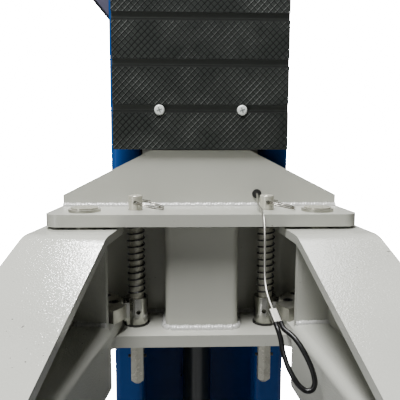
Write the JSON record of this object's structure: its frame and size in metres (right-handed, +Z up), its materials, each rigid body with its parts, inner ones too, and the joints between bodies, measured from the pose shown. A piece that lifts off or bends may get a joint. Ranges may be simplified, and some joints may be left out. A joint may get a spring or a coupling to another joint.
{
  "type": "post of a two post car lift",
  "caption": "Floor standing post of a two post car lift with sliding carriage, swinging telescopic arms, toothed arm restraints and rubber door bumper.",
  "frame": {"origin": "on the floor, under the middle of the column's front face", "axes": "+Z up, +Y away from the car, +X to the right as seen from the car"},
  "size_m": [0.7164, 1.6121, 2.804],
  "materials": {
    "column_paint": "gloss blue paint",
    "cover_paint": "grey blue paint",
    "cylinder_paint": "grey paint",
    "carriage_paint": "light grey gloss paint",
    "arm_paint": "light grey gloss paint",
    "bumper_rubber": "moulded diamond tread",
    "pad_rubber": "moulded ribs",
    "grommet_rubber": "smooth",
    "slide_plastic": "matte",
    "loop_sleeve": "smooth",
    "bright_steel": "turned",
    "zinc_steel": "zinc plated",
    "dark_steel": "black oiled",
    "cable_wire": "stranded",
    "crimp_metal": "pressed"
  },
  "bodies": {
    "post": {"base_plate": "column_paint", "base_ribs": "column_paint", "column": "column_paint", "column_cap": "column_paint", "lock_ladder": "column_paint", "hydraulic_cylinder": "cylinder_paint", "latch_cover": "cover_paint"},
    "carriage": {"carriage_channel": "carriage_paint", "slide_blocks": "slide_plastic", "carriage_web": "carriage_paint", "hinge_plate_top": "carriage_paint", "hinge_plate_bottom": "carriage_paint", "gusset_plate": "carriage_paint", "spacer_box": "carriage_paint", "door_bumper": "bumper_rubber", "arm_pin_left": "bright_steel", "arm_pin_right": "bright_steel", "arm_pin_rings": "zinc_steel", "restraint_washers": "dark_steel", "restraint_spring_left": "dark_steel", "restraint_spring_right": "dark_steel", "cable_grommet": "grommet_rubber", "release_cable": "cable_wire", "release_crimp": "crimp_metal", "release_loop": "loop_sleeve"},
    "restraint_left": {"restraint_pin_left": "bright_steel", "restraint_collar_left": "zinc_steel", "pull_ring_left": "zinc_steel", "stop_pin_left": "dark_steel"},
    "arm_left": {"arm_root_left": "arm_paint", "arm_top_plate_left": "arm_paint", "arm_stiffener_left": "arm_paint", "arm_tube_left": "arm_paint", "arm_gear_left": "zinc_steel", "gear_screws_left": "dark_steel"},
    "extension_left": {"extension_tube_left": "arm_paint", "pad_socket_left": "arm_paint", "pad_stem_left": "zinc_steel", "pad_rubber_left": "pad_rubber"},
    "restraint_right": {"restraint_pin_right": "bright_steel", "restraint_collar_right": "zinc_steel", "pull_ring_right": "zinc_steel", "stop_pin_right": "dark_steel"},
    "arm_right": {"arm_root_right": "arm_paint", "arm_top_plate_right": "arm_paint", "arm_stiffener_right": "arm_paint", "arm_tube_right": "arm_paint", "arm_gear_right": "zinc_steel", "gear_screws_right": "dark_steel"},
    "extension_right": {"extension_tube_right": "arm_paint", "pad_socket_right": "arm_paint", "pad_stem_right": "zinc_steel", "pad_rubber_right": "pad_rubber"}
  },
  "joints": [
    {"name": "carriage_lift", "type": "slide", "parent": "post", "child": "carriage", "axis": [0, 0, 1], "range_m": [-0.69, 1.05]},
    {"name": "arm_swing_left", "type": "hinge", "parent": "carriage", "child": "arm_left", "pos_m": [-0.177, -0.096, 0.9], "axis": [0, 0, -1], "range_deg": [-5, 92]},
    {"name": "arm_extend_left", "type": "slide", "parent": "arm_left", "child": "extension_left", "axis": [-0.1357, -0.9907, 0], "range_m": [-0.23, 0.24]},
    {"name": "restraint_lift_left", "type": "slide", "parent": "carriage", "child": "restraint_left", "axis": [0, 0, 1], "range_m": [0, 0.033], "stiffness_N_per_m": 1500, "springref_m": -0.03, "deforming": ["restraint_spring_left"]},
    {"name": "arm_swing_right", "type": "hinge", "parent": "carriage", "child": "arm_right", "pos_m": [0.177, -0.096, 0.9], "axis": [0, 0, 1], "range_deg": [-0.9, 95]},
    {"name": "arm_extend_right", "type": "slide", "parent": "arm_right", "child": "extension_right", "axis": [0.0854, -0.9963, 0], "range_m": [-0.23, 0.24]},
    {"name": "restraint_lift_right", "type": "slide", "parent": "carriage", "child": "restraint_right", "axis": [0, 0, 1], "range_m": [0, 0.033], "stiffness_N_per_m": 1500, "springref_m": -0.03, "deforming": ["restraint_spring_right"]}
  ]
}
